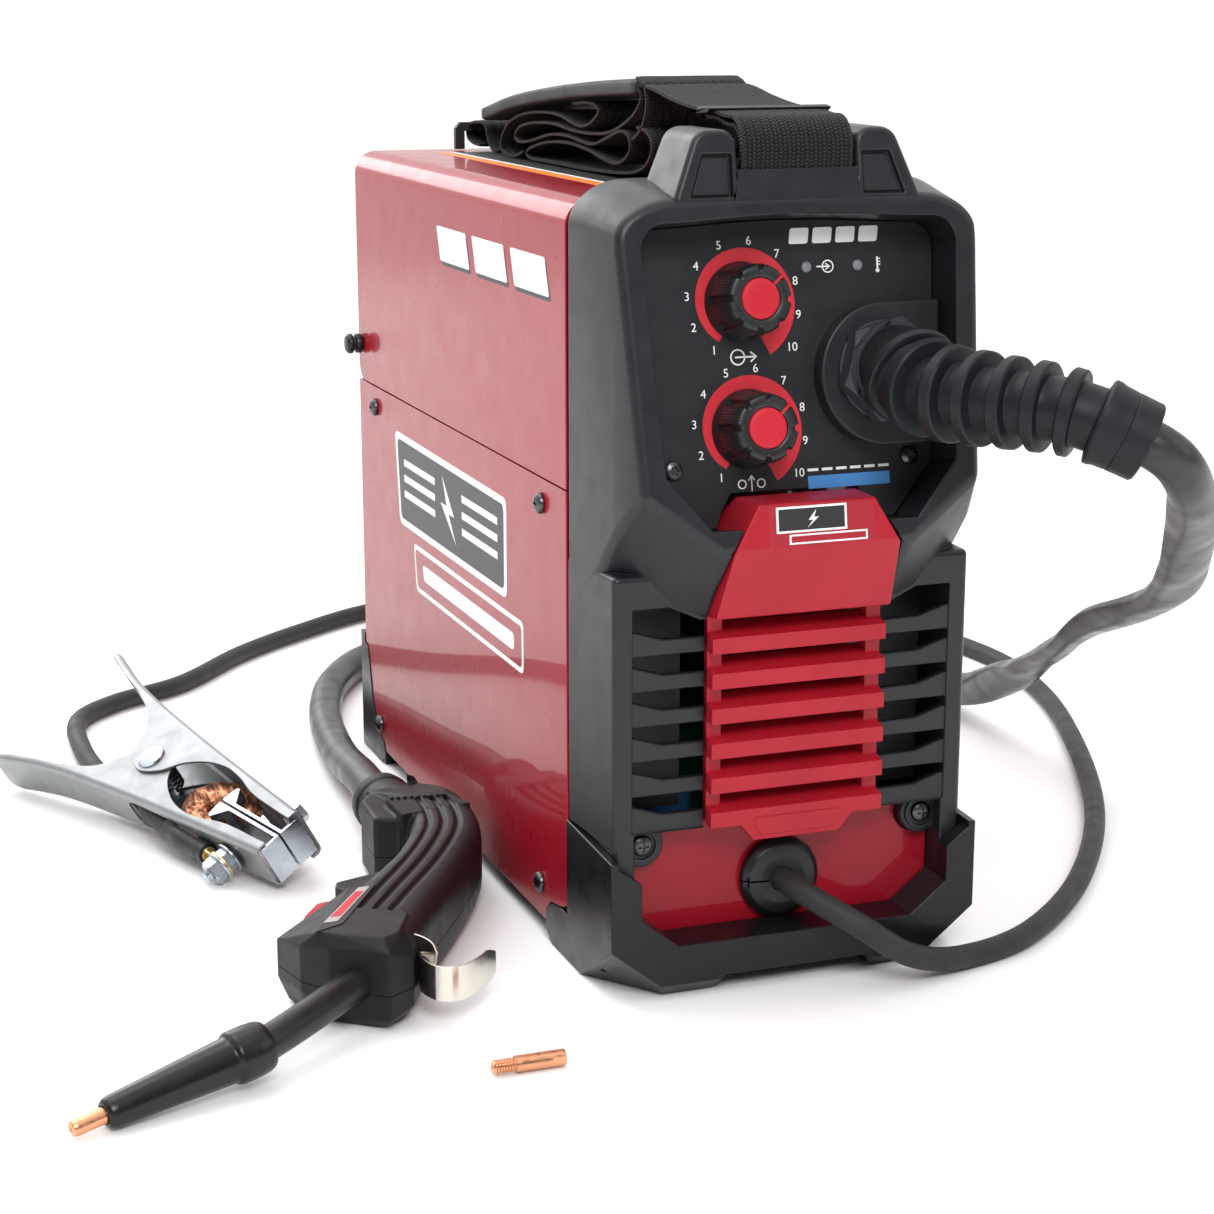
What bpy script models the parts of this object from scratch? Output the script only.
"""Small flux-cored wire-feed welder with its gun and ground clamp.

Metres, +Z up. The front faces -Y. The origin is under the middle of the machine, on the floor.
Every shape is drawn in the machine's own frame (Y = 0 at the front of the upper shield) and hangs
from the empty MACHINE, which moves that frame onto the part's origin.
"""

import math

import bmesh
import bpy
from mathutils import Euler, Matrix, Vector

# Driving dimensions
HALF_WIDTH = 0.083
BEZEL_BACK = 0.0458
CASE_FRONT = 0.0462
CASE_BACK = 0.3817
CASE_TOP = 0.327
CASE_BOTTOM = 0.0078
SPLIT_Z = 0.207
SHEET = 0.0012
GAP = 0.0003
MID_Y = 0.183
HOOD_PIVOT = (0.375, 0.2265)
BEND_RADIUS = 0.0116

# The upper shield leans back: its front plane passes through (y, z) = FACE_POINT with this slope
FACE_POINT = (-0.020, 0.215)
FACE_SLOPE = 0.181
LEAN = math.atan(FACE_SLOPE)
PANEL_DEPTH = 0.0215
PANEL_THICKNESS = 0.003
PAD_RISE = 0.008

KNOB_X = -0.0186
KNOB_HEIGHTS = {"voltage_knob": 0.2863, "wire_speed_knob": 0.2358}
LAMP_X = {"power_lamp": 0.0109, "thermal_lamp": 0.0339}
LAMP_Z = 0.299
PANEL_SCREW = (0.0526, 0.221)
OUTLET = (0.0395, 0.2562)
OUTLET_RADIUS = 0.029

GRILLE_HALF = 0.039
BAR_PITCH = 0.01488
BAR_HEIGHT = 0.0085
BARS = 6
LOWEST_BAR = 0.0716
LOUVRE_INNER = 0.0398
LOUVRE_OUTER = 0.0715

BAR_CENTRE = (0.0165, 0.3475)
BAR_RADIUS = 0.004
STRAP_HALF = 0.024

SCREW_SPOTS = {
    "side_screw_upper_front": (0.078, 0.196),
    "side_screw_upper_rear": (0.349, 0.196),
    "side_screw_lower_front": (0.0815, 0.0235),
    "side_screw_lower_rear": (0.352, 0.0215),
}
SCREW_HEAD = 0.0046
SCREW_SHANK = 0.0018

WIRE_LINE = (0.0395, 0.2585)
DRIVE_Y = 0.095
DRIVE_ROLL_RADIUS = 0.015
IDLE_ROLL_RADIUS = 0.012
SPOOL_CENTRE = (0.0395, 0.235, 0.2615)
SPOOL_RADIUS = 0.050
SPOOL_HALF = 0.022
ARM_PIVOT = (0.122, 0.2725)
TENSION_PIVOT = (0.0655, 0.2425)
FAN_CENTRE = (-0.022, 0.3665, 0.105)
FAN_RADIUS = 0.0385
SWITCH_CENTRE = (0.055, 0.150)

GUN_CABLE_RADIUS = 0.0088
BOOT_STEPS = 33
SOCKET_DEPTH = 0.006
WORK_CABLE_RADIUS = 0.0052
GROMMET = (-0.0006, 0.0410)
GROMMET_RADIUS = 0.0178
GUN_THICKNESS = 0.038
GUN_MIDDLE = 0.0195
CLAMP_PLACE = (-0.2141, 0.2814, 0.0268)
CLAMP_TURN = (math.radians(31.4), math.radians(3.6), math.radians(-70.8))
CLAMP_HANDLE = 0.1050
CLAMP_WIDTH = 0.028
HOOK_PLACE = (-0.1578, 0.0160)
TIP_LENGTH = 0.030
TIP_RADIUS = 0.0033
TAU = 2 * math.pi

for leftover in list(bpy.data.objects):
    bpy.data.objects.remove(leftover, do_unlink=True)

MACHINE = bpy.data.objects.new("machine_frame", None)
MACHINE.location = (0, -MID_Y, 0)
bpy.context.scene.collection.objects.link(MACHINE)


def paint(name, colour, roughness, metallic=0.0):
    material = bpy.data.materials.new(name)
    material.use_nodes = True
    shader = material.node_tree.nodes["Principled BSDF"]
    shader.inputs["Base Color"].default_value = (*colour, 1.0)
    shader.inputs["Roughness"].default_value = roughness
    shader.inputs["Metallic"].default_value = metallic
    return material


RED_PAINT = paint("red_paint", (0.42, 0.012, 0.02), 0.18)
RED_PLASTIC = paint("red_plastic", (0.52, 0.02, 0.035), 0.42)
BLACK_PLASTIC = paint("black_plastic", (0.035, 0.037, 0.042), 0.5)
GLOSS_BLACK = paint("gloss_black", (0.012, 0.012, 0.014), 0.25)
RUBBER = paint("rubber", (0.022, 0.022, 0.024), 0.65)
WEBBING = paint("webbing", (0.012, 0.012, 0.012), 0.85)
ZINC = paint("zinc", (0.62, 0.64, 0.66), 0.35, 1.0)
DARK_STEEL = paint("dark_steel", (0.03, 0.03, 0.032), 0.35, 0.8)
COPPER = paint("copper", (0.72, 0.31, 0.17), 0.35, 1.0)
BOARD = paint("circuit_board", (0.01, 0.09, 0.04), 0.5)
LAMP_GREY = paint("lamp_lens", (0.25, 0.26, 0.28), 0.2)
ALUMINIUM = paint("aluminium", (0.6, 0.6, 0.62), 0.4, 1.0)


# Mesh helpers


def arc(centre, radius, start, end, steps):
    """Points on a circle's arc, angles in degrees, both ends included."""
    turns = [math.radians(start + (end - start) * i / steps) for i in range(steps + 1)]
    return [(centre[0] + radius * math.cos(a), centre[1] + radius * math.sin(a)) for a in turns]


def circle(centre, radius, sides):
    return arc(centre, radius, 0, 360, sides)[:-1]


def mirrored(half):
    """A closed outline from its right half, which runs from top to bottom."""
    return list(half) + [(-x, z) for x, z in reversed(half) if abs(x) > 1e-9]


def rectangle(x0, z0, x1, z1):
    return [(x0, z0), (x1, z0), (x1, z1), (x0, z1)]


def join(*shapes):
    """Several separate shapes as one mesh, for a cutter with many bodies."""
    whole = bmesh.new()
    for shape in shapes:
        copy = bpy.data.meshes.new("joined")
        shape.to_mesh(copy)
        whole.from_mesh(copy)
        bpy.data.meshes.remove(copy)
        shape.free()
    return whole


def solid_between(front, back):
    """A closed solid between two outlines with the same number of 3-D points."""
    shape = bmesh.new()
    first = [shape.verts.new(p) for p in front]
    last = [shape.verts.new(p) for p in back]
    shape.faces.new(first)
    shape.faces.new(list(reversed(last)))
    for i in range(len(first)):
        j = (i + 1) % len(first)
        shape.faces.new((first[j], first[i], last[i], last[j]))
    bmesh.ops.recalc_face_normals(shape, faces=shape.faces)
    return shape


def along_x(outline, a, b):
    """Prism of a (y, z) outline from x = a to x = b."""
    return solid_between([(a, y, z) for y, z in outline], [(b, y, z) for y, z in outline])


def along_y(outline, a, b):
    """Prism of an (x, z) outline from y = a to y = b."""
    return solid_between([(x, a, z) for x, z in outline], [(x, b, z) for x, z in outline])


def along_z(outline, a, b):
    """Prism of an (x, y) outline from z = a to z = b."""
    return solid_between([(x, y, a) for x, y in outline], [(x, y, b) for x, y in outline])


def block(x0, x1, y0, y1, z0, z1):
    return along_y(rectangle(x0, z0, x1, z1), y0, y1)


def hull(points):
    shape = bmesh.new()
    for point in points:
        shape.verts.new(point)
    made = bmesh.ops.convex_hull(shape, input=shape.verts)
    spare = [v for v in made["geom_interior"] + made["geom_unused"] if isinstance(v, bmesh.types.BMVert)]
    bmesh.ops.delete(shape, geom=list(set(spare)), context="VERTS")
    bmesh.ops.dissolve_limit(shape, angle_limit=0.002, verts=shape.verts, edges=shape.edges)
    bmesh.ops.recalc_face_normals(shape, faces=shape.faces)
    return shape


def turned(profile, sides):
    """A lathe shape about Z from (radius, height) points; it starts and ends on the axis or closes on itself."""
    shape = bmesh.new()
    rings = []
    for radius, height in profile:
        if radius < 1e-7:
            rings.append([shape.verts.new((0, 0, height))])
        else:
            rings.append([shape.verts.new((x, y, height)) for x, y in circle((0, 0), radius, sides)])
    pairs = list(zip(rings, rings[1:]))
    if profile[0][0] > 1e-7:
        pairs.append((rings[-1], rings[0]))
    for low, high in pairs:
        for i in range(sides):
            j = (i + 1) % sides
            corners = [low[i % len(low)], low[j % len(low)], high[j % len(high)], high[i % len(high)]]
            shape.faces.new(list(dict.fromkeys(corners)))
    bmesh.ops.recalc_face_normals(shape, faces=shape.faces)
    return shape


def spaced(points, count):
    """Points at even distances along a smooth curve through the given 3-D points."""
    knots = [Vector(p) for p in points]
    knots = [2 * knots[0] - knots[1]] + knots + [2 * knots[-1] - knots[-2]]
    fine = []
    for a, b, c, d in zip(knots, knots[1:], knots[2:], knots[3:]):
        for i in range(12):
            t = i / 12
            fine.append(
                0.5 * (2 * b + (c - a) * t + (2 * a - 5 * b + 4 * c - d) * t**2 + (3 * b - a - 3 * c + d) * t**3)
            )
    fine.append(knots[-2])
    reach = [0.0]
    for a, b in zip(fine, fine[1:]):
        reach.append(reach[-1] + (b - a).length)
    result, k = [], 0
    for i in range(count):
        want = reach[-1] * i / (count - 1)
        while k < len(fine) - 2 and reach[k + 1] < want:
            k += 1
        share = (want - reach[k]) / max(reach[k + 1] - reach[k], 1e-9)
        result.append(fine[k].lerp(fine[k + 1], min(max(share, 0), 1)))
    return result


def swept(path, section, up=Vector((0, 0, 1))):
    """A closed bar along a path. section(share) gives (side, up) points at that share of the length."""
    shape = bmesh.new()
    rings = []
    for i, point in enumerate(path):
        ahead = path[min(i + 1, len(path) - 1)] - path[max(i - 1, 0)]
        ahead.normalize()
        side = ahead.cross(up).normalized()
        top = side.cross(ahead)
        outline = section(i / (len(path) - 1))
        rings.append([shape.verts.new(point + side * a + top * b) for a, b in outline])
    for low, high in zip(rings, rings[1:]):
        for i in range(len(low)):
            j = (i + 1) % len(low)
            shape.faces.new((low[i], low[j], high[j], high[i]))
    shape.faces.new(rings[0])
    shape.faces.new(list(reversed(rings[-1])))
    bmesh.ops.recalc_face_normals(shape, faces=shape.faces)
    return shape


def moved(shape, place=(0, 0, 0), turn=(0, 0, 0)):
    bmesh.ops.transform(shape, matrix=Matrix.LocRotScale(Vector(place), Euler(turn), None),
        verts=shape.verts)
    return shape


def node(name, shape, material, place=(0, 0, 0), turn=(0, 0, 0), parent=MACHINE, smooth=30):
    mesh = bpy.data.meshes.new(name)
    shape.to_mesh(mesh)
    shape.free()
    mesh.materials.append(material)
    if smooth:
        mesh.shade_smooth()
        mesh.set_sharp_from_angle(angle=math.radians(smooth))
    thing = bpy.data.objects.new(name, mesh)
    bpy.context.scene.collection.objects.link(thing)
    thing.parent = parent
    thing.location = place
    thing.rotation_euler = turn
    return thing


def change(target, operation, *shapes, self_touching=False):
    """Cuts or joins one helper mesh, drawn in the target's own frame."""
    mesh = bpy.data.meshes.new(target.name + "_helper")
    tool = join(*shapes)
    tool.to_mesh(mesh)
    tool.free()
    helper = bpy.data.objects.new(mesh.name, mesh)
    bpy.context.scene.collection.objects.link(helper)
    helper.parent = target.parent
    helper.location = target.location
    helper.rotation_euler = target.rotation_euler
    helper.hide_render = True
    helper.display_type = "WIRE"
    boolean = target.modifiers.new(operation.lower(), "BOOLEAN")
    boolean.operation = operation
    boolean.object = helper
    boolean.solver = "EXACT"
    boolean.use_self = self_touching


def cut(target, *shapes):
    change(target, "DIFFERENCE", *shapes)


def add(target, *shapes, self_touching=False):
    change(target, "UNION", *shapes, self_touching=self_touching)


def empty(name, place, turn=(0, 0, 0)):
    thing = bpy.data.objects.new(name, None)
    bpy.context.scene.collection.objects.link(thing)
    thing.parent = MACHINE
    thing.location = place
    thing.rotation_euler = turn
    return thing


# The leaning front


def face_y(z):
    return FACE_POINT[0] + FACE_SLOPE * (z - FACE_POINT[1])


def on_face(outline, depth):
    """Outline points on the leaning plane, moved back by depth at right angles to it."""
    back = Vector((0, math.cos(LEAN), -math.sin(LEAN))) * depth
    return [Vector((x, face_y(z), z)) + back for x, z in outline]


def leaning_prism(outline, near, far):
    return solid_between(on_face(outline, near), on_face(outline, far))


def on_panel(x, z, depth=PANEL_DEPTH):
    """The point of the panel plane whose height is z when depth is measured from the front."""
    lift = z + math.sin(LEAN) * PANEL_DEPTH
    return on_face([(x, lift)], depth)[0]


PANEL_TURN = (math.pi / 2 - LEAN, 0, 0)


def opening_outline(shrink=0.0):
    """The control opening: arched top, round upper corners, cut lower corners."""
    side = 0.0688 - shrink
    half = [(0.0, 0.3224 - shrink), (0.022, 0.3219 - shrink), (0.043, 0.3206 - shrink)]
    half += [(x, z) for x, z in arc((0.0583, 0.3095), 0.0105 - shrink, 84, 8, 4)]
    half += [(side - 0.0053, 0.2226), (0.0448 - shrink, 0.2005 + shrink)]
    return mirrored(half)


# Sheet-metal case


def side_outline():
    """Lower side panel in (y, z), notched round the front and rear bumpers."""
    front = [(CASE_FRONT, 0.0245), (0.054, 0.0212), (0.069, 0.0186), (0.0753, 0.0132),
        (0.0753, CASE_BOTTOM)]
    rear = [(0.3435, CASE_BOTTOM), (0.3465, 0.0125), (0.3575, 0.0158), (0.3675, 0.031), (0.3755, 0.059)]
    top = [(CASE_BACK, 0.061), (CASE_BACK, SPLIT_Z - GAP), (CASE_FRONT, SPLIT_Z - GAP)]
    return front + rear + top


def side_panels():
    for name, side in (("left_side_panel", -1), ("right_side_panel", 1)):
        edges = sorted((side * (HALF_WIDTH - SHEET), side * HALF_WIDTH))
        panel = node(name, along_x(side_outline(), *edges), RED_PAINT)
        reach = side * HALF_WIDTH
        cut(panel, *[along_x(circle(spot, 0.0023, 8), reach - 0.004,
            reach + 0.004) for spot in SCREW_SPOTS.values()])


def side_screws():
    """Pan-head screws, each through the panel into the frame behind it."""
    for name, (y, z) in SCREW_SPOTS.items():
        profile = [(0, -0.0006), (SCREW_SHANK, -0.0006), (SCREW_SHANK, 0.004), (SCREW_HEAD, 0.004)]
        profile += [(SCREW_HEAD, 0.0048), (SCREW_HEAD * 0.72, 0.0064), (0, 0.007)]
        place = (-HALF_WIDTH - GAP + 0.004, y, z)
        screw = node(name, turned(profile, 12), DARK_STEEL, place, (0, -math.pi / 2, 0))
        cut(screw, block(-0.0028, 0.0028, -0.0004, 0.0004, 0.0055, 0.009))


def base_pan():
    inside = HALF_WIDTH - SHEET - GAP
    low = 0.0082
    lip = 0.030
    wall = [(inside, lip), (inside, low), (-inside, low), (-inside, lip)]
    wall += [(SHEET - inside, lip), (SHEET - inside, low + SHEET), (inside - SHEET, low + SHEET),
        (inside - SHEET, lip)]
    pan = node("base_pan", along_y(wall, 0.0465, 0.3798), DARK_STEEL)
    lower = [SCREW_SPOTS["side_screw_lower_front"], SCREW_SPOTS["side_screw_lower_rear"]]
    cut(pan, *[along_x(circle(spot, 0.0023, 8), s * 0.077, s * 0.086) for spot in lower for s in (-1, 1)])


def mid_shelf():
    """Shelf between the electronics and the wire bay, with lips that take the upper side screws."""
    inside = HALF_WIDTH - SHEET - GAP
    top, lip = 0.2052, 0.186
    wall = [(-inside, lip), (-inside, top), (inside, top), (inside, lip)]
    wall += [(inside - SHEET, lip), (inside - SHEET, top - SHEET), (SHEET - inside, top - SHEET),
        (SHEET - inside, lip)]
    shelf = node("mid_shelf", along_y(wall, 0.0465, 0.3798), DARK_STEEL)
    upper = [SCREW_SPOTS["side_screw_upper_front"], SCREW_SPOTS["side_screw_upper_rear"]]
    cut(shelf, *[along_x(circle(spot, 0.0023, 8), s * 0.077, s * 0.086) for spot in upper for s in (-1,
        1)])


def rear_panel():
    """Back wall with flanges that carry the hood's pivots, a fan opening and the switch cut-out."""
    inside = HALF_WIDTH - SHEET - GAP
    outline = [(-inside, 0.0085), (inside, 0.0085), (inside, 0.300), (0.060, 0.3235), (-0.060, 0.3235),
        (-inside, 0.300)]
    wall = node("rear_panel", along_y(outline, CASE_BACK - SHEET, CASE_BACK), RED_PAINT)
    tabs = []
    for side in (-1, 1):
        edges = sorted((side * inside, side * (inside - SHEET)))
        tabs.append(block(*edges, 0.362, CASE_BACK - 0.0006, 0.2065, 0.2465))
    add(wall, *tabs)
    fan_x, _, fan_z = FAN_CENTRE
    holes = [along_x(circle(HOOD_PIVOT, 0.0023, 8), s * 0.078, s * 0.084) for s in (-1, 1)]
    for row in range(-3, 4):
        reach = math.sqrt(FAN_RADIUS**2 - (row * 0.0105) ** 2) - 0.003
        z = fan_z + row * 0.0105
        for x0, x1 in ((fan_x - reach, fan_x - 0.0015), (fan_x + 0.0015, fan_x + reach)):
            holes.append(block(x0, x1, CASE_BACK - 0.01, CASE_BACK + 0.01, z - 0.003, z + 0.003))
    switch_x, switch_z = SWITCH_CENTRE
    holes.append(block(switch_x - 0.0115, switch_x + 0.0115, 0.37, 0.39, switch_z - 0.0155,
        switch_z + 0.0155))
    holes.append(along_y(circle((switch_x, 0.075), 0.0083, 12), 0.37, 0.39))
    cut(wall, *holes)


def hood():
    """Upper cover, an upside-down U that tips up on the two rear pivot screws."""
    pivot_y, pivot_z = HOOD_PIVOT
    low = SPLIT_Z + GAP - pivot_z
    top = CASE_TOP - pivot_z
    outer = [(HALF_WIDTH, low)] + arc((HALF_WIDTH - BEND_RADIUS, top - BEND_RADIUS), BEND_RADIUS, 0, 90,
        5)
    inner_half = HALF_WIDTH - SHEET
    inner = [(inner_half, low)]
    inner += arc((HALF_WIDTH - BEND_RADIUS, top - BEND_RADIUS), BEND_RADIUS - SHEET, 0, 90, 5)
    ring = outer + [(-x, z) for x, z in reversed(outer)] + [(-x, z) for x, z in inner]
    ring += list(reversed(inner))
    cover = node("hood", along_y(ring, CASE_FRONT - pivot_y, CASE_BACK - pivot_y), RED_PAINT,
        (0, pivot_y, pivot_z))
    back = CASE_BACK - pivot_y
    radius = 0.010
    corner = [(back + 0.01, low - 0.01), (back + 0.01, low + radius)]
    corner += arc((back - radius, low + radius), radius, 0, -90, 4) + [(back - radius, low - 0.01)]
    latch = (0.0705 - pivot_y, 0.2275 - pivot_z)
    cut(cover, along_x(corner, -0.1, 0.1), along_x(circle((0, 0), 0.0034, 12), -0.1, 0.1))
    cut(cover, along_x(circle(latch, 0.0042, 12), 0.07, 0.1))
    front = CASE_FRONT - pivot_y
    relief = [(front - 0.001, low - 0.001), (front + 0.0008, low - 0.001), (front - 0.0001, low + 0.0200)]
    cut(cover, along_x(relief + [(front - 0.001, low + 0.0200)], -0.1, 0.1))


def hood_pivots():
    """Shoulder screws that the hood turns on."""
    for name, side in (("hood_pivot_left", -1), ("hood_pivot_right", 1)):
        profile = [(0, -0.0025), (SCREW_SHANK, -0.0025), (SCREW_SHANK, 0.0009), (0.0031, 0.0009),
            (0.0031, 0.0024)]
        profile += [(0.0052, 0.0024), (0.0052, 0.0056), (0.0040, 0.0056), (0.0040, 0.0068)]
        profile += [(0.0054, 0.0068), (0.0054, 0.0094), (0.0040, 0.0108), (0, 0.0112)]
        place = (side * (HALF_WIDTH - SHEET - 2 * GAP), *HOOD_PIVOT)
        node(name, turned(profile, 14), DARK_STEEL, place, (0, side * math.pi / 2, 0))


def hood_latch():
    """Quarter-turn fastener on the right side, with a slotted head."""
    profile = [(0, -0.006), (0.0036, -0.006), (0.0036, 0), (0.0075, 0), (0.0075, 0.0016),
        (0.0062, 0.003), (0, 0.0034)]
    latch = node("hood_latch", turned(profile, 16), DARK_STEEL, (HALF_WIDTH + GAP, 0.0705, 0.2275),
        (0, math.pi / 2, 0))
    cut(latch, block(-0.0055, 0.0055, -0.0007, 0.0007, 0.0015, 0.006))


def front_plate():
    """Red steel plate low at the front, which the work cable comes through."""
    outline = [(-0.0702, 0.0235), (-0.0533, 0.0095), (0.0533, 0.0095), (0.0702, 0.0235),
        (0.0702, 0.0703), (-0.0702, 0.0703)]
    plate = node("front_plate", along_y(outline, 0.0105, 0.0105 + SHEET), RED_PAINT)
    lugs = [along_y(circle((s * 0.0646, 0.0634), 0.0102, 16), 0.0, 0.03) for s in (-1, 1)]
    cut(plate, along_y(circle(GROMMET, 0.0143, 16), 0.0, 0.03), *lugs)


# Plastic front


def shield():
    """The bulging upper body: a hull over the back rim, the rim's chamfer and the leaning face."""
    points = []
    rims = ((BEZEL_BACK, HALF_WIDTH, 0.0), (0.031, 0.0817, 0.0008))
    for y, half, drop in rims:
        crown = [(0.0, 0.335), (0.058, 0.335), (0.069, 0.3322), (0.0765, 0.3285), (0.0808, 0.3235),
            (0.083, 0.316)]
        for x, z in crown + [(0.083, 0.160)]:
            points += [(s * x * half / 0.083, y, z - drop) for s in (-1, 1)]
    front = [(0.0, 0.3292), (0.052, 0.329), (0.064, 0.3278), (0.0722, 0.325), (0.077, 0.3205),
        (0.0785, 0.3135)]
    front += [(0.0736, 0.215), (0.042, 0.1913), (0.0, 0.1913)]
    for x, z in front:
        points += [(s * x, face_y(z), z) for s in (-1, 1)]
    for x, z in ((0.0798, 0.196), (0.0542, 0.1663), (0.0415, 0.1598), (0.0, 0.1598)):
        points += [(s * x, -0.002, z) for s in (-1, 1)]
    return hull(points)


def boss_outline():
    """Both strap bosses and the low wall between them, seen from the front."""
    half = [(0.0, 0.3345), (0.0257, 0.3345), (0.0257, 0.3495), (0.0275, 0.3535), (0.0315, 0.3555),
        (0.0375, 0.3555)]
    half += [(0.0420, 0.3535), (0.0452, 0.3490), (0.0530, 0.3300), (0.0530, 0.3260)]
    return mirrored(half)


def louvre_gaps():
    """The slots between the side blades: each blade is deeper towards the outside."""
    inner, outer, kink = LOUVRE_INNER, LOUVRE_OUTER, 0.058
    gaps = []
    for side in (-1, 1):
        for level in range(BARS):
            low = LOWEST_BAR + level * BAR_PITCH
            high = low + BAR_PITCH
            shape = [(inner, low + BAR_HEIGHT), (kink, low + BAR_HEIGHT + 0.0002), (outer, low + 0.0121)]
            if level < BARS - 1:
                shape += [(outer, high), (inner, high)]
            else:
                shape += [(outer, 0.166), (0.0555, 0.166), (0.0423, 0.1598), (inner, 0.1598)]
            gaps.append(along_y([(side * x, z) for x, z in shape], -0.02, 0.03))
    return gaps


def front_bezel():
    body = node("front_bezel", shield(), BLACK_PLASTIC)
    plan = [(0.083, BEZEL_BACK), (0.0817, 0.031), (0.0798, -0.002), (-0.0798, -0.002), (-0.0817, 0.031),
        (-0.083, BEZEL_BACK)]
    add(body, along_z(plan, 0.0235, 0.180))
    tops = boss_outline()
    add(body, solid_between([(x, face_y(z), z) for x, z in tops], [(x, 0.0385, z) for x, z in tops]))
    cut(body, leaning_prism(opening_outline(), -0.012, 0.080))
    cut(body, block(-0.0765, 0.0765, 0.014, 0.07, 0.0, 0.190))
    middle = [(0.0305, 0.2030), (0.0371, 0.1920), (0.0394, 0.171), (0.0394, 0.0706), (0.0705, 0.0706),
        (0.0705, -0.005)]
    cut(body, along_y(mirrored(middle), -0.06, 0.06))
    cut(body, *louvre_gaps())
    add(body, *[along_y(circle((s * 0.0646, 0.0634), 0.0096, 16), 0.0052, 0.0135) for s in (-1, 1)])
    window = [(0.0284, 0.3295), (0.0468, 0.3295), (0.0408, 0.3462), (0.0284, 0.3462)]
    recesses = [leaning_prism([(s * x, z) for x, z in window], -0.004, 0.0028) for s in (-1, 1)]
    beside_bumper = [block(*sorted((s * 0.0799, s * 0.09)), -0.02, 0.06, 0.0, 0.0645) for s in (-1, 1)]
    cut(body, *recesses, *beside_bumper)
    bar_hole = along_x(circle(BAR_CENTRE, BAR_RADIUS + GAP, 12), -0.0335, 0.0335)
    screw_holes = [along_y(circle((s * 0.0646, 0.0634), 0.0020, 8), 0.0, 0.02) for s in (-1, 1)]
    cut(body, bar_hole, *screw_holes)


def control_panel():
    """Flat panel in the opening, with a raised D-shaped pad for the gun outlet."""
    panel = node("control_panel", leaning_prism(opening_outline(0.0003), PANEL_DEPTH,
        PANEL_DEPTH + PANEL_THICKNESS), BLACK_PLASTIC)
    x, z = OUTLET
    lift = z + math.sin(LEAN) * (PANEL_DEPTH - PAD_RISE)
    outline = [(0.0632, lift - OUTLET_RADIUS), (0.0668, lift + OUTLET_RADIUS)]
    outline += arc((x + 0.001, lift), OUTLET_RADIUS, 90, 270, 14)
    add(panel, leaning_prism(outline, PANEL_DEPTH - PAD_RISE, PANEL_DEPTH + 0.001))
    holes = [(KNOB_X, height, 0.0036) for height in KNOB_HEIGHTS.values()]
    holes += [(lamp_x, LAMP_Z, 0.0024) for lamp_x in LAMP_X.values()]
    holes += [(s * PANEL_SCREW[0], PANEL_SCREW[1], 0.0018) for s in (-1, 1)] + [(x, z, 0.0088)]
    cutters = []
    for hole_x, hole_z, radius in holes:
        centre = on_panel(hole_x, hole_z)
        cutters.append(moved(turned([(0, -0.012), (radius, -0.012), (radius, 0.012), (0, 0.012)], 12),
            centre, PANEL_TURN))
    cut(panel, *cutters)
    prow = [(0.0, 0.2106), (0.0280, 0.2106), (0.0324, 0.2036), (0.0394, 0.1850), (0.0, 0.1850)]
    cut(panel, along_y(mirrored(prow), -0.03, 0.03))


def knobs():
    """Skirted knobs on shafts that reach the control board."""
    for name, height in KNOB_HEIGHTS.items():
        profile = [(0, -0.0095), (0.0030, -0.0095), (0.0030, 0.0005), (0.0150, 0.0005), (0.0160, 0.0020)]
        profile += [(0.0155, 0.0060), (0.0142, 0.0175), (0.0125, 0.0196), (0.0, 0.0200)]
        node(name, turned(profile, 24), BLACK_PLASTIC, on_panel(KNOB_X, height), PANEL_TURN)


def lamps():
    for name, x in LAMP_X.items():
        profile = [(0, -0.006), (0.0021, -0.006), (0.0021, 0.0), (0.0021, 0.0006), (0.0012, 0.0011),
            (0, 0.0012)]
        node(name, turned(profile, 12), LAMP_GREY, on_panel(x, LAMP_Z), PANEL_TURN)


def control_board():
    outline = [(0.012, 0.229), (0.012, 0.309), (-0.050, 0.309), (-0.050, 0.229)]
    node("control_board", leaning_prism(outline, PANEL_DEPTH + 0.0102, PANEL_DEPTH + 0.0118), BOARD)


def nose():
    """The red prow over the grille: narrow on top, creased, wide below."""
    sections = [(0.0270, -0.0005, 0.2096), (0.0256, -0.0220, 0.2100), (0.0363, -0.0244, 0.1920)]
    sections += [(0.0390, -0.0130, 0.1710), (0.0390, -0.0114, 0.1614), (0.0390, 0.0050, 0.1614)]
    sections += [(0.0390, 0.0050, 0.1705), (0.0365, 0.0050, 0.1920), (0.0300, 0.0050, 0.2030)]
    return hull([(s * x, y, z) for x, y, z in sections for s in (-1, 1)])


def front_grille():
    """Nose, bars and two set-back uprights, moulded in one piece."""
    grille = node("front_grille", nose(), RED_PLASTIC)
    face = [(0.0, 0.1625), (GRILLE_HALF, 0.1625), (GRILLE_HALF, LOWEST_BAR), (0.0255, LOWEST_BAR),
        (0.0195, 0.0645), (0.0, 0.0645)]
    add(grille, along_y(mirrored(face), -0.008, -0.002))
    add(grille, block(-0.0375, 0.0375, -0.0025, 0.0050, 0.0718, 0.1645))
    fronts, backs = [], []
    for level in range(BARS):
        low = LOWEST_BAR + level * BAR_PITCH + BAR_HEIGHT
        high = low + BAR_PITCH - BAR_HEIGHT
        fronts.append(block(-0.05, 0.05, -0.03, -0.0022, low, high))
        backs.append(block(-0.0325, 0.0325, -0.0030, 0.02, low, high))
    cut(grille, *fronts)
    cut(grille, *backs)


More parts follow.
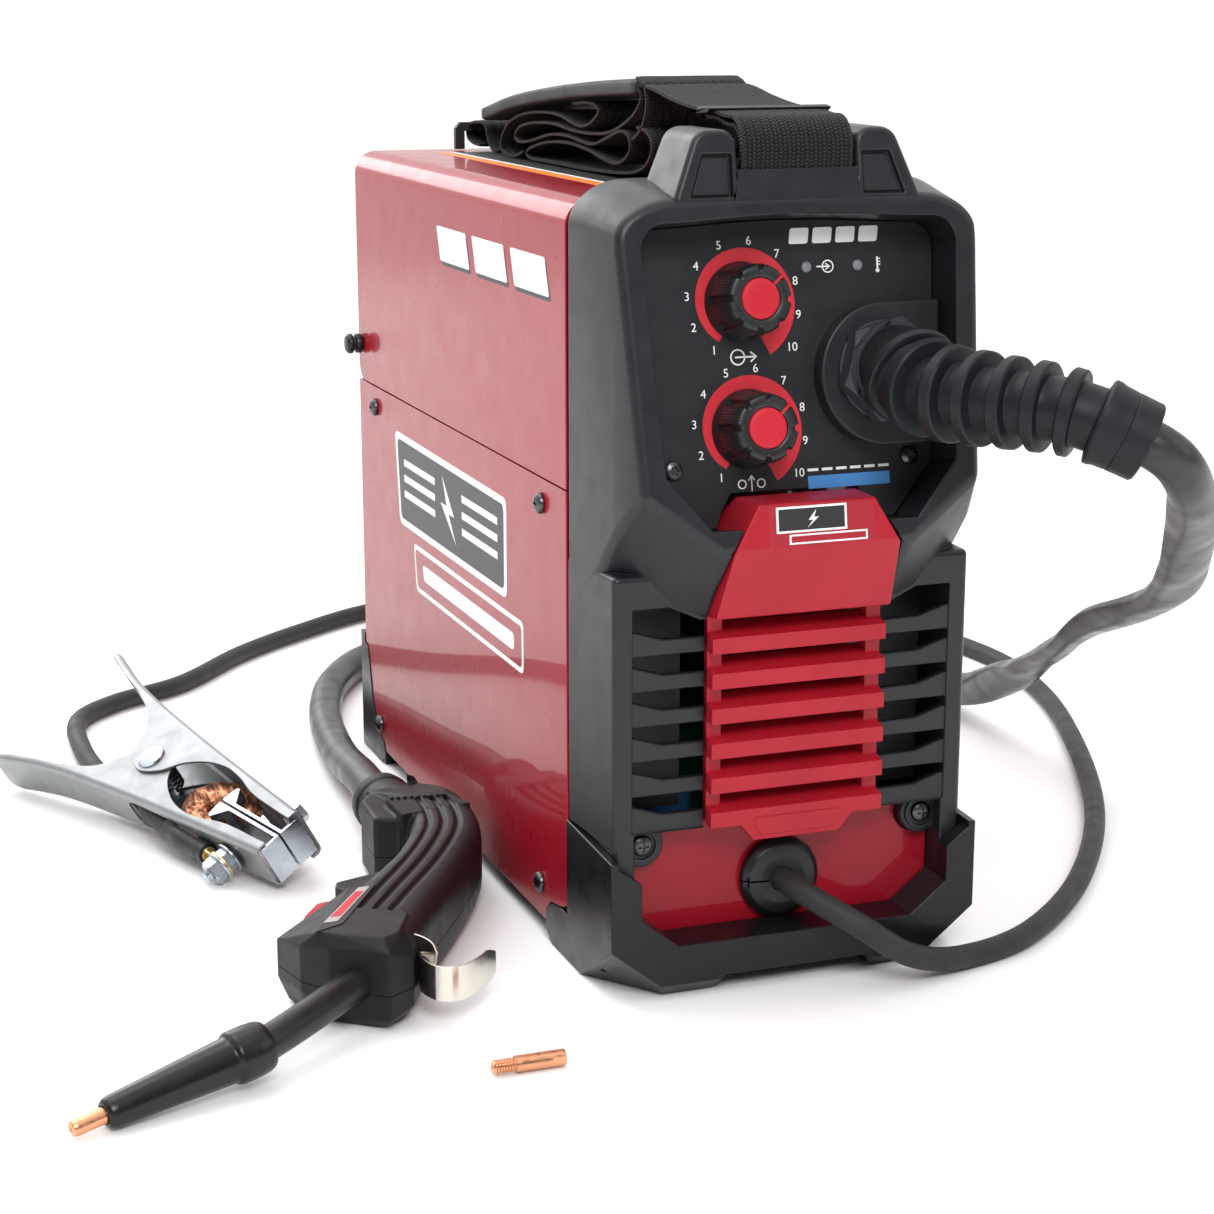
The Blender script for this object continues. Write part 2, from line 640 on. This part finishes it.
def wing_outline():
    """Side of the front bumper behind the case's front edge, in (y, z)."""
    return [(0.040, 0.0), (0.0665, 0.0), (0.0748, 0.0050), (0.0748, 0.0126), (0.0686, 0.0180),
        (0.054, 0.0205), (0.040, 0.0205)]


def front_bumper():
    """Open-topped guard round the foot of the machine, with chamfered corners and two feet."""
    face = [(0.0535, 0.0228), (0.0700, 0.0360), (0.0700, 0.0518), (0.0835, 0.0618), (0.0835, 0.0)]
    face += [(0.0370, 0.0), (0.0325, 0.0072), (0.0, 0.0072)]
    front = mirrored([(0.0, 0.0228)] + face)
    bumper = node("front_bumper", along_y(front, -0.010, -0.0024), GLOSS_BLACK)
    tray = [(0.0, 0.0228), (0.0535, 0.0228), (0.0702, 0.0362), (0.0702, 0.0231), (0.0800, 0.0231),
        (0.0800, 0.0)]
    tray += [(0.0370, 0.0), (0.0325, 0.0072), (0.0, 0.0072)]
    add(bumper, along_y(mirrored(tray), -0.004, 0.0100))
    wings, backs, feet = [], [], []
    wall = [(-0.010, 0.0), (0.0459, 0.0), (0.0459, 0.0641), (-0.010, 0.0618)]
    for side in (-1, 1):
        wings.append(along_x(wall, *sorted((side * 0.0802, side * 0.0835))))
        backs.append(along_x(wing_outline(), *sorted((side * 0.0820, side * 0.0835))))
        feet.append(along_z([(side * x, y) for x, y in ((0.0370, 0.0), (0.0828, 0.0), (0.0828, 0.072),
            (0.0370, 0.072))], 0.0, 0.0072))
    add(bumper, *wings)
    add(bumper, *backs)
    add(bumper, *feet)
    corners = []
    for side in (-1, 1):
        outside = [(0.0835, -0.010, 0.0236), (0.0540, -0.010, 0.0), (0.0835, 0.029, 0.0)]
        outside += [(0.0935, -0.020, 0.0236), (0.0640, -0.020, -0.010), (0.0935, 0.029, -0.010),
            (0.0935, -0.020, -0.010)]
        outside += [(0.0540, -0.020, -0.010), (0.0540, -0.020, 0.0), (0.0835, -0.020, 0.0236)]
        corners.append(hull([(side * x, y, z) for x, y, z in outside]))
    toe = along_x([(-0.02, -0.01), (-0.004, -0.001), (-0.004, 0.0), (-0.010, 0.0058), (-0.02, 0.0058)],
        -0.09, 0.09)
    cut(bumper, *corners)
    cut(bumper, toe)


def rear_bumper():
    """Guard round the foot of the back wall, wrapping both sides."""
    back = 0.3904
    half = [(0.0, 0.0225), (0.0535, 0.0225), (0.0700, 0.0360), (0.0700, 0.0655), (0.0835, 0.0655)]
    half += [(0.0835, 0.0), (0.0370, 0.0), (0.0325, 0.0072), (0.0, 0.0072)]
    bumper = node("rear_bumper", along_y(mirrored(half), CASE_BACK + GAP, back), GLOSS_BLACK)
    wings, feet = [], []
    wall = [(0.3860, 0.0), (0.3520, 0.0), (0.3440, 0.0045), (0.3440, CASE_BOTTOM - GAP), (0.3470, 0.0120)]
    wall += [(0.3579, 0.0153), (0.3680, 0.0308), (0.3760, 0.0585), (0.3860, 0.0608)]
    for side in (-1, 1):
        wings.append(along_x(wall, *sorted((side * 0.0820, side * 0.0835))))
        feet.append(along_z([(side * x, y) for x, y in ((0.0370, 0.346), (0.0828, 0.346), (0.0828,
            0.386), (0.0370, 0.386))], 0.0, 0.0072))
    add(bumper, *wings)
    add(bumper, *feet)


# Carrying strap


def strap_bar():
    node("strap_bar", along_x(circle(BAR_CENTRE, BAR_RADIUS, 12), -0.0330, 0.0330), ZINC)


def strap_parts():
    """Soft pieces: the loop on the front bar, the folded webbing on the hood and the grip pad on top."""
    y, z = BAR_CENTRE
    loop = [(0.0035, 0.3385), (0.0060, 0.3365), (0.0400, 0.3395), (0.0440, 0.3440), (0.0440, 0.3560)]
    loop += [(0.0300, 0.3605), (0.0120, 0.3600), (0.0060, 0.3565), (0.0035, 0.3500)]
    front = node("strap_front_loop", along_x(loop, -STRAP_HALF, STRAP_HALF), WEBBING)
    cut(front, along_x(circle((y, z), BAR_RADIUS + 0.0006, 12), -0.05, 0.05))
    stack = [(0.0600, 0.3274 + GAP), (0.3600, 0.3274 + GAP), (0.3670, 0.3330), (0.3500, 0.3355),
        (0.2600, 0.3470)]
    stack += [(0.1700, 0.3545), (0.1150, 0.3565), (0.0900, 0.3500), (0.0500, 0.3470), (0.0480, 0.3400),
        (0.0500, 0.3360)]
    node("carry_strap", along_x(stack, -STRAP_HALF, STRAP_HALF), WEBBING)
    under = [(0.3515, 0.3360), (0.2600, 0.3475), (0.1700, 0.3550), (0.1140, 0.3572)]
    over = [(0.1140, 0.3700), (0.1700, 0.3668), (0.2600, 0.3582), (0.3515, 0.3450)]
    node("strap_grip", along_x(under + over, -0.0265, 0.0265), RUBBER)
    leg = [(0.0260, 0.3273 + GAP), (0.0310, 0.3273 + GAP), (0.0310, 0.3385), (0.0285, 0.3415)]
    ring = leg + [(-a, b) for a, b in reversed(leg)] + [(-0.0260, 0.3370), (0.0260, 0.3370)]
    node("strap_rear_bracket", along_y(ring, 0.3690, 0.3730), DARK_STEEL)


# Gun outlet, cables and grommet


def outward(depth_from_face, x=OUTLET[0], z=OUTLET[1]):
    """A point on the outlet's axis, at a depth behind the leaning face."""
    centre = on_panel(x, z)
    return centre + Vector((0, math.cos(LEAN), -math.sin(LEAN))) * (depth_from_face - PANEL_DEPTH)


def gland_nut():
    """Hexagonal nut on the pad, with a threaded tail through the panel."""
    pad = PANEL_DEPTH - PAD_RISE
    profile = [(0.0215, 0.0003), (0.0215, 0.0090), (0.0175, 0.0110), (0.0066, 0.0110),
        (0.0066, -0.0150), (0.0084, -0.0150), (0.0084, 0.0003)]
    node("gland_nut", turned(profile, 6), BLACK_PLASTIC, outward(pad), PANEL_TURN, smooth=0)


def boot_path():
    """Centre line of the bend protector: out of the nut, then round to the right, drooping a little."""
    nut_face = PANEL_DEPTH - PAD_RISE - 0.0115
    points = [outward(nut_face), outward(nut_face - 0.0035), outward(nut_face - 0.0070)]
    points += [Vector((0.0402, -0.0290, 0.2565)), Vector((0.0420, -0.0420, 0.2550))]
    points += [Vector((0.0480, -0.0560, 0.2545)), Vector((0.0562, -0.0720, 0.2543)),
        Vector((0.0650, -0.0850, 0.2539))]
    points += [Vector((0.0740, -0.0950, 0.2522)), Vector((0.0814, -0.1010, 0.2493)),
        Vector((0.0960, -0.1090, 0.2420))]
    return spaced(points, BOOT_STEPS)


def cable_boot():
    """Ribbed bend protector: rings getting smaller towards a plain cuff with a socket for the hose."""
    path = boot_path()

    def section(share):
        i = round(share * (BOOT_STEPS - 1))
        outside = 0.0208 - 0.0042 * share
        ring = i % 4 in (0, 1) or i > BOOT_STEPS - 6 or i < 5
        return circle((0, 0), outside if ring else outside - 0.0052, 14)

    boot = node("cable_boot", swept(path, section), RUBBER)
    out = (path[-1] - path[-2]).normalized()
    socket = [path[-1] - out * SOCKET_DEPTH, path[-1] + out * 0.01]
    cut(boot, swept(socket, lambda share: circle((0, 0), GUN_CABLE_RADIUS + GAP, 12)))


def gun_cable():
    """The gun's hose: out of the boot, round behind the machine on the floor, and into the grip."""
    r = GUN_CABLE_RADIUS
    boot = boot_path()
    out = (boot[-1] - boot[-2]).normalized()
    points = [boot[-1] + out * 0.004, (0.1075, -0.112, 0.2340), (0.1203, -0.102, 0.2225),
        (0.1400, -0.075, 0.2050)]
    points += [(0.1680, -0.030, 0.1743), (0.1945, 0.025, 0.1440), (0.2080, 0.105, 0.1110),
        (0.2275, 0.185, 0.0720)]
    points += [(0.2440, 0.262, 0.0370), (0.2520, 0.320, 0.0170), (0.2500, 0.385, r), (0.2200, 0.455, r),
        (0.1400, 0.520, r)]
    points += [(0.0400, 0.555, r), (-0.0350, 0.537, r), (-0.0760, 0.485, r), (-0.0990, 0.415, r)]
    points += [(-0.1110, 0.335, 0.012), (-0.1150, 0.275, 0.018), (-0.1165, 0.232, GUN_MIDDLE)]
    path = [boot[-1] - out * (SOCKET_DEPTH - GAP)] + spaced(points, 63)
    node("gun_cable", swept(path, lambda share: circle((0, 0), r, 10)), RUBBER)


def work_cable():
    """The ground cable: out of the grommet, right round behind the machine, and back to the clamp."""
    r = WORK_CABLE_RADIUS
    x, z = GROMMET
    points = [(x, 0.0022, z), (0.0040, -0.0120, 0.0385), (0.0200, -0.028, 0.0290),
        (0.0440, -0.030, 0.0130)]
    points += [(0.074, -0.022, r), (0.115, -0.006, r), (0.169, 0.044, r), (0.226, 0.124, r),
        (0.276, 0.225, r)]
    points += [(0.316, 0.335, r), (0.326, 0.430, r), (0.290, 0.560, r), (0.180, 0.655, r),
        (0.060, 0.685, r)]
    points += [(-0.010, 0.663, r), (-0.064, 0.626, r), (-0.113, 0.583, r), (-0.160, 0.528, r),
        (-0.204, 0.500, r)]
    points += [(-0.230, 0.468, r), (-0.236, 0.415, r), (-0.2345, 0.358, 0.0070)]
    path = [Vector((x, 0.0180, z))] + spaced(points, 77)
    node("work_cable", swept(path, lambda share: circle((0, 0), r, 8)), RUBBER)


def cable_grommet():
    """Split strain-relief bush in the front plate."""
    inner = WORK_CABLE_RADIUS + GAP
    profile = [(inner, -0.0040), (0.0105, -0.0040), (GROMMET_RADIUS, -0.0008), (GROMMET_RADIUS, 0.0022),
        (0.0138, 0.0022), (0.0138, 0.0075), (inner, 0.0075)]
    node("cable_grommet", turned(profile, 20), RUBBER, (GROMMET[0], 0.0079, GROMMET[1]),
        (-math.pi / 2, 0, 0))


# Welding gun


def handle_path():
    """Centre line of the grip, from the cable end to the head, at half its thickness."""
    plan = [(-0.1175, 0.207), (-0.1075, 0.176), (-0.1100, 0.140), (-0.1255, 0.105), (-0.1450, 0.074),
        (-0.1640, 0.046), (-0.1800, 0.020)]
    return [Vector((x, y, GUN_MIDDLE)) for x, y in plan]


HEAD_POINTS = [(-0.2110, 0.0460), (-0.2060, 0.0250), (-0.1970, 0.0120), (-0.1760, -0.0040),
    (-0.1640, 0.0030), (-0.1560, 0.0260), (-0.1690, 0.0640), (-0.1950, 0.0680)]
HOOK_POCKET = [(-0.1554, 0.0275), (-0.1590, 0.0160), (-0.1614, 0.0050), (-0.1590, -0.0060),
    (-0.1400, -0.0060)]
HOOK_POCKET.append((-0.1400, 0.0275))
PARTING = GUN_MIDDLE - 0.004


def gun_shells():
    """Two half shells that meet at a flat parting line; the head is a chamfered block."""
    path = spaced(handle_path(), 15)
    deep = GUN_THICKNESS / 2

    def grip(share):
        wide = 0.0170 + 0.0045 * max(0.0, share - 0.55) / 0.45
        return [(wide, -deep * 0.5), (wide, deep * 0.5), (wide * 0.62, deep), (-wide * 0.62, deep),
            (-wide, deep * 0.5), (-wide, -deep * 0.5), (-wide * 0.62, -deep), (wide * 0.62, -deep)]

    centre = Vector((-0.185, 0.034, GUN_MIDDLE))
    inset = [Vector((x, y, GUN_MIDDLE)).lerp(centre, 0.16) for x, y in HEAD_POINTS]
    rings = [(x, y, GUN_MIDDLE + s * deep * 0.62) for x, y in HEAD_POINTS for s in (-1, 1)]
    rings += [(p.x, p.y, GUN_MIDDLE + s * deep) for p in inset for s in (-1, 1)]
    entry = [swept([Vector((-0.1120, 0.190, GUN_MIDDLE)), Vector((-0.1175, 0.240, GUN_MIDDLE))],
        lambda share: circle((0, 0), GUN_CABLE_RADIUS + GAP, 10))]
    slot = along_z([(-0.2250, 0.0720), (-0.1815, 0.0985), (-0.1655, 0.0840), (-0.1790, 0.0500),
        (-0.1985, 0.0560)], GUN_MIDDLE - 0.0062, GUN_MIDDLE + 0.0062)
    halves = (("gun_upper_shell", PARTING + GAP / 2, 0.08), ("gun_lower_shell", -0.04, PARTING - GAP / 2))
    for name, low, high in halves:
        shell = node(name, swept(path, grip), BLACK_PLASTIC)
        add(shell, hull(rings))
        keep = block(-0.30, -0.05, -0.10, 0.30, low, high)
        change(shell, "INTERSECT", keep)
        cut(shell, entry[0].copy())
        cut(shell, slot.copy())
        cut(shell, along_z(HOOK_POCKET, GUN_MIDDLE - 0.0082, GUN_MIDDLE + 0.0082))
        cut(shell, swept(neck_path(0.014)[:6], lambda share: circle((0, 0), 0.0073, 12)))
    entry[0].free()
    slot.free()


NECK_START = Vector((-0.1810, 0.0120, GUN_MIDDLE))
NOZZLE_START = Vector((-0.2330, -0.0288, 0.0140))
NOZZLE_AIM = Vector((-0.0570, -0.0205, -0.0070)).normalized()


def neck_path(inside):
    """The goose-neck leaves the head level and dips to the floor; inside is its length within the head."""
    back = (NECK_START - Vector((-0.2085, -0.0115, 0.0172))).normalized()
    start = [NECK_START + back * inside] if inside else []
    points = start + [NECK_START, Vector((-0.2085, -0.0115, 0.0172)), NOZZLE_START,
        NOZZLE_START + NOZZLE_AIM * 0.010]
    return spaced(points, 12)


def gun_front():
    """Goose-neck, nozzle cone and contact tip, all on one curved line."""
    node("gun_neck", swept(neck_path(0.012), lambda share: circle((0, 0), 0.0070, 12)), GLOSS_BLACK)
    bore = 0.0078
    profile = [(bore, 0.0), (0.0098, 0.0), (0.0103, 0.006), (0.0103, 0.0150), (0.0091, 0.0160),
        (0.0064, 0.0680)]
    profile += [(0.0052, 0.0700), (0.0037, 0.0700), (0.0037, 0.030), (bore, 0.024)]
    turn = NOZZLE_AIM.to_track_quat("Z", "Y").to_euler()
    node("gun_nozzle", turned(profile, 18), RUBBER, NOZZLE_START, turn)
    tip = [(0, 0.0), (TIP_RADIUS, 0.0), (TIP_RADIUS, 0.0300), (TIP_RADIUS * 0.8, 0.0310), (0, 0.0310)]
    node("gun_contact_tip", turned(tip, 12), COPPER, NOZZLE_START + NOZZLE_AIM * 0.0530, turn)


def gun_trigger():
    """Trigger lever on the outside of the head; its origin is its hinge."""
    outline = [(-0.0020, -0.0040), (0.0035, 0.0000), (0.0010, 0.0240), (-0.0100, 0.0290),
        (-0.0155, 0.0240), (-0.0080, 0.0040)]
    node("gun_trigger", along_z(outline, -0.0055, 0.0055), RED_PLASTIC, (-0.1905, 0.0585, GUN_MIDDLE))


def gun_hook():
    """Sprung hanging clip on the side of the head."""
    plan = [(0.0036, 0.0102), (0.0, 0.0), (-0.0022, -0.010), (0.0010, -0.0215), (0.0098, -0.0245),
        (0.0183, -0.0170)]
    strip = [Vector((x, y, 0)) for x, y in plan + [(0.0243, 0.0010)]]
    hook = swept(spaced(strip, 18), lambda share: [(0.0006, -0.0075), (0.0006, 0.0075),
        (-0.0006, 0.0075), (-0.0006, -0.0075)])
    node("gun_hook", hook, ZINC, (HOOK_PLACE[0], HOOK_PLACE[1], GUN_MIDDLE))


def spare_contact_tip():
    profile = [(0, 0.0), (0.0026, 0.0), (0.0028, 0.0080), (TIP_RADIUS, 0.0085), (TIP_RADIUS, 0.0290),
        (0.0026, TIP_LENGTH), (0, TIP_LENGTH)]
    node("spare_contact_tip", turned(profile, 12), COPPER, (-0.1500, -0.0563, TIP_RADIUS),
        (0, math.pi / 2, 0))


# Ground clamp, drawn about its pivot: X towards the jaws, Z across the plates


def clamp_arm_side(reach):
    """Profile of one arm seen flat: back edge, jaw, throat, pivot ear, handle."""
    back = [(-CLAMP_HANDLE, 0.0445), (-0.0600, 0.0330), (0.0000, 0.0250), (0.0650, 0.0185), (0.1150, 0.0140)]
    front = [(0.1150, 0.0075), (0.0830, 0.0090), (0.0600, 0.0155), (0.0330, 0.0120), (0.0120, -0.0060),
        (0.0, -0.0090), (-0.0120, -0.0060), (-0.0230, 0.0130), (-0.0430, 0.0240), (-CLAMP_HANDLE, 0.0410)]
    return [(x, reach * y) for x, y in back + front]


def clamp_arm(name, reach, half, frame):
    """A pressed channel: two plates joined by the bent back."""
    arm = node(name, along_z(clamp_arm_side(reach), -half, half), ZINC, parent=frame)
    inner = half - 0.0012
    lip = 0.0014
    end = 0.0030 - CLAMP_HANDLE
    hollow = [(end, 0.0422), (-0.0600, 0.0330 - lip), (0.0, 0.0250 - lip), (0.0650, 0.0185 - lip),
        (0.1090, 0.0140 - lip), (0.1090, -0.02), (end, -0.02)]
    cut(arm, along_z([(x, reach * y) for x, y in hollow], -inner, inner))
    cut(arm, along_z(circle((0, 0), 0.0045, 14), -0.03, 0.03))
    corner = [(-CLAMP_HANDLE - 0.001, half - 0.0065), (-CLAMP_HANDLE + 0.0065, half + 0.001),
        (-CLAMP_HANDLE - 0.001, half + 0.001)]
    cut(arm, *[along_y([(x, s * z) for x, z in corner], -0.06, 0.06) for s in (-1, 1)])
    return arm


def ground_clamp():
    frame = empty("clamp_frame", CLAMP_PLACE, CLAMP_TURN)
    outer = CLAMP_WIDTH / 2
    lower = clamp_arm("clamp_lower_arm", -1, outer - 0.0016, frame)
    clamp_arm("clamp_upper_arm", 1, outer, frame)
    across = turned([(0, -0.012), (0.0036, -0.012), (0.0036, 0.012), (0, 0.012)], 10)
    cut(lower, moved(across, (0.088, -0.0160, 0), (math.pi / 2, 0, 0)))
    pin = [(0, -outer - 0.0024), (0.0068, -outer - 0.0020), (0.0074, -outer - GAP),
        (0.0041, -outer - GAP), (0.0041, outer + GAP), (0.0074, outer + GAP), (0.0068,
        outer + 0.0020), (0, outer + 0.0024)]
    node("clamp_pivot", turned(pin, 14), ZINC, parent=frame)
    spring = [(0.0050, -0.0080), (0.0078, -0.0080), (0.0078, 0.0080), (0.0050, 0.0080)]
    node("clamp_spring", turned(spring, 16), DARK_STEEL, parent=frame)
    stud = [(0, -0.0050), (0.0033, -0.0050), (0.0033, 0.0012), (0.0066, 0.0012), (0.0066, 0.0062),
        (0.0033, 0.0062), (0.0033, 0.0085), (0.0066, 0.0085), (0.0066, 0.0135), (0.0033,
        0.0135), (0.0033, 0.0180), (0, 0.0180)]
    node("clamp_stud", turned(stud, 6), ZINC, (0.088, -0.0170, 0), (math.pi / 2, 0, 0), parent=frame,
        smooth=0)


# Wire bay


def wire_spool():
    """Ten-centimetre spool of wire with its hub and two flanges."""
    core, hub = 0.0330, 0.0086
    w = SPOOL_HALF
    profile = [(hub, -w), (SPOOL_RADIUS, -w), (SPOOL_RADIUS, 0.0022 - w), (core + 0.009, 0.0022 - w),
        (core + 0.009, w - 0.0022)]
    profile += [(SPOOL_RADIUS, w - 0.0022), (SPOOL_RADIUS, w), (hub, w)]
    node("wire_spool", turned(profile, 32), ZINC, SPOOL_CENTRE, (0, math.pi / 2, 0))


def spool_spindle():
    """Bracket and shaft for the spool, with the clamp knob on its end."""
    x, y, z = SPOOL_CENTRE
    left = x - SPOOL_HALF - 0.004
    plate = [(y - 0.020, 0.2055), (y + 0.020, 0.2055), (y + 0.012, z + 0.010), (y - 0.012, z + 0.010)]
    bracket = node("spool_spindle", along_x(plate, left - 0.0016, left), BLACK_PLASTIC)
    add(bracket, along_x(circle((y, z), 0.0082, 16), left - 0.0006, x + SPOOL_HALF + 0.0012))
    add(bracket, along_x(circle((y, z), 0.0140, 16), x + SPOOL_HALF + 0.0008, x + SPOOL_HALF + 0.0075))


def drive_motor():
    """Gear motor on its plate, with the output shaft through it."""
    x, z = WIRE_LINE
    roll_z = z - DRIVE_ROLL_RADIUS - 0.0005
    plate_x = x - 0.0150
    plate = [(0.055, 0.2055), (0.140, 0.2055), (0.140, 0.290), (0.105, 0.290), (0.055, 0.268)]
    motor = node("drive_motor", along_x(plate, plate_x - 0.003, plate_x), ALUMINIUM)
    add(motor, along_x(circle((DRIVE_Y, roll_z), 0.0210, 20), plate_x - 0.024, plate_x - 0.0015))
    add(motor, along_x(circle((DRIVE_Y, roll_z), 0.0175, 20), plate_x - 0.078, plate_x - 0.020))
    add(motor, along_x(circle((DRIVE_Y, roll_z), 0.0035, 10), plate_x - 0.0015, x + 0.0075))
    pins = [along_x(circle(ARM_PIVOT, 0.0028, 10), plate_x - 0.0015, x + 0.0048)]
    pins.append(along_x(circle(TENSION_PIVOT, 0.0028, 10), plate_x - 0.0015, x + 0.0048))
    add(motor, *pins)


def drive_rolls():
    """Grooved drive roll on the motor and the pressure roll on its arm."""
    x, z = WIRE_LINE
    for name, radius, hole, centre_z in (
        ("drive_roll", DRIVE_ROLL_RADIUS, 0.0039, z - DRIVE_ROLL_RADIUS - 0.0005),
        ("idle_roll", IDLE_ROLL_RADIUS, 0.0031, z + IDLE_ROLL_RADIUS + 0.0005),
    ):
        profile = [(hole, -0.0050), (radius, -0.0050), (radius, -0.0010), (radius - 0.0008, 0),
            (radius, 0.0010), (radius, 0.0050), (hole, 0.0050)]
        node(name, turned(profile, 24), ZINC, (x, DRIVE_Y, centre_z), (0, math.pi / 2, 0))


def idle_arm():
    """Pressure arm: pivot at the back, roll pin in the middle, fork for the tension screw at the front."""
    x, z = WIRE_LINE
    roll_z = z + IDLE_ROLL_RADIUS + 0.0005
    pivot_y, pivot_z = ARM_PIVOT
    shape = [(pivot_y + 0.007, pivot_z - 0.005), (pivot_y + 0.007, pivot_z + 0.006),
        (0.100, roll_z + 0.010), (0.060, roll_z + 0.010)]
    shape += [(0.060, roll_z + 0.004), (0.088, roll_z + 0.004), (0.088, roll_z - 0.006),
        (0.108, roll_z - 0.006), (pivot_y - 0.005, pivot_z - 0.005)]
    local = [(a - pivot_y, b - pivot_z) for a, b in shape]
    arm = node("idle_arm", along_x(local, -0.0115, -0.0060), ALUMINIUM, (x, pivot_y, pivot_z))
    add(arm, along_x(circle((DRIVE_Y - pivot_y, roll_z - pivot_z), 0.0028, 10), -0.0075, 0.0075))
    cut(arm, along_x(circle((0, 0), 0.0032, 12), -0.02, 0.02))


def tension_screw():
    """Swing-away tension screw with its knurled knob."""
    x, z = WIRE_LINE
    y, pivot_z = TENSION_PIVOT
    top = z + IDLE_ROLL_RADIUS + 0.0115 - pivot_z
    screw = node("tension_screw", along_x(circle((0, 0), 0.0062, 14), -0.0045, 0.0040), BLACK_PLASTIC,
        (x, y, pivot_z))
    add(screw, along_z(circle((0, 0), 0.0022, 8), 0.004, top + 0.004))
    add(screw, along_z(circle((0, 0), 0.0056, 14), top, top + 0.020))
    cut(screw, along_x(circle((0, 0), 0.0032, 12), -0.02, 0.02))


# Lower bay


def power_board():
    """Inverter board with heat sinks and the main transformer, on stand-off rails."""
    board = node("power_board", block(-0.066, 0.066, 0.075, 0.335, 0.0240, 0.0258), BOARD)
    rails = [block(s * 0.060 - 0.003, s * 0.060 + 0.003, 0.078, 0.332, 0.0098, 0.0245) for s in (-1, 1)]
    core = [block(-0.030, 0.030, 0.110, 0.165, 0.0250, 0.078)]
    sink = [block(-0.052, 0.052, 0.195, 0.315, 0.0250, 0.095)]
    add(board, *rails, *core, *sink)
    fins = [block(x0, x0 + 0.007, 0.18, 0.33, 0.034,
        0.10) for x0 in [i * 0.0145 - 0.0472 for i in range(7)]]
    cut(board, *fins)


def fan():
    """Cooling fan behind the rear grille: square frame and five-bladed rotor."""
    x, y, z = FAN_CENTRE
    frame = [(x - 0.0425, z - 0.0425), (x + 0.0425, z - 0.0425), (x + 0.0425, z + 0.0425),
        (x - 0.0425, z + 0.0425)]
    housing = node("fan_frame", along_y(frame, y - 0.0125, y + 0.0130), BLACK_PLASTIC)
    cut(housing, along_y(circle((x, z), FAN_RADIUS + 0.0008, 28), y - 0.02, y + 0.0115))
    cut(housing, along_y(circle((x, z), FAN_RADIUS - 0.002, 28), y + 0.0110, y + 0.02))
    arms = [block(x - 0.0380, x + 0.0380, y + 0.0108, y + 0.0128, z - 0.0020, z + 0.0020)]
    add(housing, *arms)
    rotor = node("fan_rotor", turned([(0, -0.010), (0.0130, -0.010), (0.0140, -0.009), (0.0140, 0.0095),
        (0, 0.0095)], 16), BLACK_PLASTIC, (x, y, z), (math.pi / 2, 0, 0))
    blades = []
    for i in range(5):
        blade = hull([(r, s * 0.006 * r / 0.02 + t, s * 0.0065) for r in (0.0125, 0.0364) for s in (-1,
            1) for t in (-0.0006, 0.0006)])
        bmesh.ops.rotate(blade, verts=blade.verts, matrix=Matrix.Rotation(i * TAU / 5, 3, "Z"))
        blades.append(blade)
    add(rotor, *blades)


def power_switch():
    """Rocker in the back wall; its origin is the rocker's own hinge."""
    x, z = SWITCH_CENTRE
    outline = [(0.0035, -0.0130), (0.0085, -0.0125), (0.0050, 0.0), (0.0052, 0.0125), (0.0008, 0.0130),
        (-0.0040, 0.0)]
    node("power_switch", along_x([(y - 0.003, h) for y, h in outline], -0.0095, 0.0095), GLOSS_BLACK,
        (x, CASE_BACK - 0.0005, z))


def build():
    side_panels()
    side_screws()
    base_pan()
    mid_shelf()
    rear_panel()
    hood()
    hood_pivots()
    hood_latch()
    front_plate()
    front_bezel()
    control_panel()
    knobs()
    lamps()
    control_board()
    front_grille()
    front_bumper()
    rear_bumper()
    strap_bar()
    strap_parts()
    gland_nut()
    cable_boot()
    gun_cable()
    work_cable()
    cable_grommet()
    gun_shells()
    gun_front()
    gun_trigger()
    gun_hook()
    spare_contact_tip()
    ground_clamp()
    wire_spool()
    spool_spindle()
    drive_motor()
    drive_rolls()
    idle_arm()
    tension_screw()
    power_board()
    fan()
    power_switch()


build()
